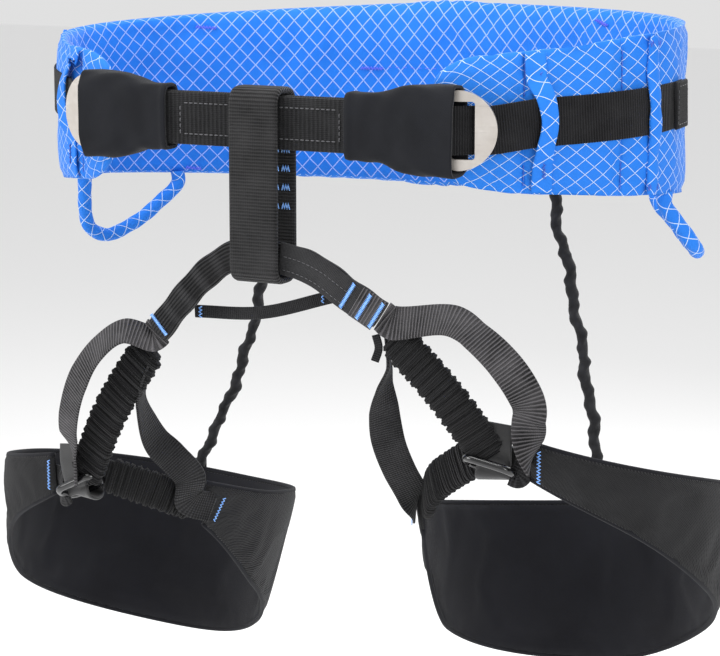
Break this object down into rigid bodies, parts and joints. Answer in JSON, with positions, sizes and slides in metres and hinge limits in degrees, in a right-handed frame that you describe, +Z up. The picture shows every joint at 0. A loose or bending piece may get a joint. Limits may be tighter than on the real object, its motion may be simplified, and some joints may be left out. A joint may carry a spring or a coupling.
{
  "type": "climbing harness",
  "caption": "Sit harness with padded blue waist belt, tie-in bridge and belay loop, gathered leg loops, rear risers and gear loops, in its worn shape.",
  "frame": {"origin": "middle of the wearer's waist, half way up the back of the belt", "axes": "+Z up, the wearer faces -Y, the wearer's left is +X"},
  "size_m": [0.4545, 0.2315, 0.3969],
  "materials": {
    "ripstop": "woven diamond ripstop, satin",
    "ripstop_inside": "woven diamond ripstop with pale lines",
    "foam": "closed-cell padding",
    "steel": "warm brushed steel",
    "black_plastic": "gloss black",
    "neoprene": "fine knit over neoprene, matt",
    "grey_webbing": "ribbed webbing, slightly lit ribs",
    "leg_twill": "fine diagonal twill",
    "leg_lining": "matt stretch lining",
    "elastic": "gathered elastic",
    "black_webbing": "ribbed webbing"
  },
  "bodies": {
    "waist": {"waist_inner_lining": "ripstop_inside", "waist_foam_core": "foam", "waist_load_webbing": "black_webbing", "waist_outer_cover": "ripstop", "left_buckle": "steel", "left_webbing_tail": "black_webbing", "left_webbing_tail_hem": "black_webbing", "left_front_keeper": "ripstop", "left_side_keeper": "ripstop", "left_bridge_end": "black_webbing", "right_buckle": "steel", "right_webbing_tail": "black_webbing", "right_webbing_tail_hem": "black_webbing", "right_front_keeper": "ripstop", "right_side_keeper": "ripstop", "right_bridge_end": "black_webbing"},
    "belay_loop": {"tie_in_bridge": "black_webbing", "bridge_cover": "black_webbing", "belay_loop": "black_webbing"},
    "leg_arch": {"leg_arch_webbing": "black_webbing", "arch_facing": "grey_webbing", "arch_backing": "black_webbing", "arch_tie": "black_webbing"},
    "left_leg": {"left_leg_pad_core": "foam", "left_leg_outer_cover": "leg_twill", "left_leg_inner_lining": "leg_lining", "left_leg_adjuster_ring": "black_plastic", "left_leg_outer_webbing": "grey_webbing", "left_leg_upper_elastic": "elastic", "left_leg_ring_tab": "black_webbing", "left_leg_lower_elastic": "elastic", "left_leg_inner_webbing": "black_webbing", "left_leg_pad_end_loop": "black_webbing", "left_riser_anchor": "elastic"},
    "left_rear_riser": {"left_rear_riser": "elastic"},
    "left_sleeve": {"left_sleeve": "neoprene"},
    "left_gear_loop": {"left_gear_loop": "ripstop"},
    "right_leg": {"right_leg_pad_core": "foam", "right_leg_outer_cover": "leg_twill", "right_leg_inner_lining": "leg_lining", "right_leg_adjuster_ring": "black_plastic", "right_leg_outer_webbing": "grey_webbing", "right_leg_upper_elastic": "elastic", "right_leg_ring_tab": "black_webbing", "right_leg_lower_elastic": "elastic", "right_leg_inner_webbing": "black_webbing", "right_leg_pad_end_loop": "black_webbing", "right_riser_anchor": "elastic"},
    "right_rear_riser": {"right_rear_riser": "elastic"},
    "right_sleeve": {"right_sleeve": "neoprene"},
    "right_gear_loop": {"right_gear_loop": "ripstop"}
  },
  "joints": [
    {"name": "belay_loop_swing", "type": "hinge", "parent": "waist", "child": "belay_loop", "pos_m": [0, -0.11, 0.002], "axis": [-1, 0, 0], "range_deg": [-12, 22]},
    {"name": "leg_arch_swing", "type": "hinge", "parent": "belay_loop", "child": "leg_arch", "pos_m": [0, -0.11, -0.0694], "axis": [1, 0, 0], "range_deg": [-12, 22]},
    {"name": "left_leg_swing", "type": "hinge", "parent": "leg_arch", "child": "left_leg", "pos_m": [0.068, -0.106, -0.096], "axis": [0.1974, 0.8043, -0.5604], "range_deg": [-10, 10], "stiffness_Nm_per_rad": 0.6},
    {"name": "left_riser_lean", "type": "hinge", "parent": "waist", "child": "left_rear_riser", "pos_m": [0.07601, 0.09742, -0.05563], "axis": [-1, 0, 0], "range_deg": [-5.5, 9.6]},
    {"name": "left_sleeve_slide", "type": "slide", "parent": "waist", "child": "left_sleeve", "axis": [-1, 0, 0], "range_m": [0, 0.014]},
    {"name": "left_gear_loop_lift", "type": "hinge", "parent": "waist", "child": "left_gear_loop", "pos_m": [0.18389, -0.00377, -0.04243], "axis": [0.423, -0.9023, 0.0835], "range_deg": [-30, 55], "stiffness_Nm_per_rad": 0.05},
    {"name": "right_leg_swing", "type": "hinge", "parent": "leg_arch", "child": "right_leg", "pos_m": [-0.068, -0.106, -0.115], "axis": [-0.3874, 0.7722, -0.5037], "range_deg": [-10, 10], "stiffness_Nm_per_rad": 0.6},
    {"name": "right_riser_lean", "type": "hinge", "parent": "waist", "child": "right_rear_riser", "pos_m": [-0.10501, 0.08802, -0.05915], "axis": [-1, 0, 0], "range_deg": [-5.5, 9.6]},
    {"name": "right_sleeve_slide", "type": "slide", "parent": "waist", "child": "right_sleeve", "axis": [1, 0, 0], "range_m": [0, 0.014]},
    {"name": "right_gear_loop_lift", "type": "hinge", "parent": "waist", "child": "right_gear_loop", "pos_m": [-0.18389, -0.00377, -0.05243], "axis": [0.4237, 0.9038, -0.0605], "range_deg": [-10, 75], "stiffness_Nm_per_rad": 0.05}
  ],
  "couplings": [
    {"joint": "leg_arch_swing", "follows": "belay_loop_swing", "ratio": 1},
    {"joint": "left_riser_lean", "follows": "belay_loop_swing", "ratio": 0.411},
    {"joint": "right_riser_lean", "follows": "belay_loop_swing", "ratio": 0.399}
  ]
}
